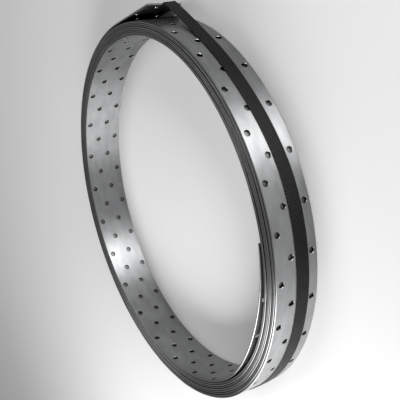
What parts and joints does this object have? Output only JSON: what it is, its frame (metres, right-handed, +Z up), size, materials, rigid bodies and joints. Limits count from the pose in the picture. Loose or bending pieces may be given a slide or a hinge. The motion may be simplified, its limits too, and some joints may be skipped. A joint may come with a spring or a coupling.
{
  "type": "perforated steel strap coil",
  "caption": "Coil of bright perforated steel bracing strip with a lifted free end, tied round with a black plastic packing strap.",
  "frame": {"origin": "on the coil's axis, level with the innermost turn's lower edge, 4 mm above the floor that it lies on", "axes": "+Z up along the coil's axis; the free end lifts off near +Y and points towards +X"},
  "size_m": [0.3606, 0.3742, 0.044],
  "materials": {
    "bright_steel": "bright zinc coated",
    "black_strap": "embossed"
  },
  "bodies": {
    "root": {"steel_strip_coil": "bright_steel", "packing_strap": "black_strap"}
  },
  "joints": []
}
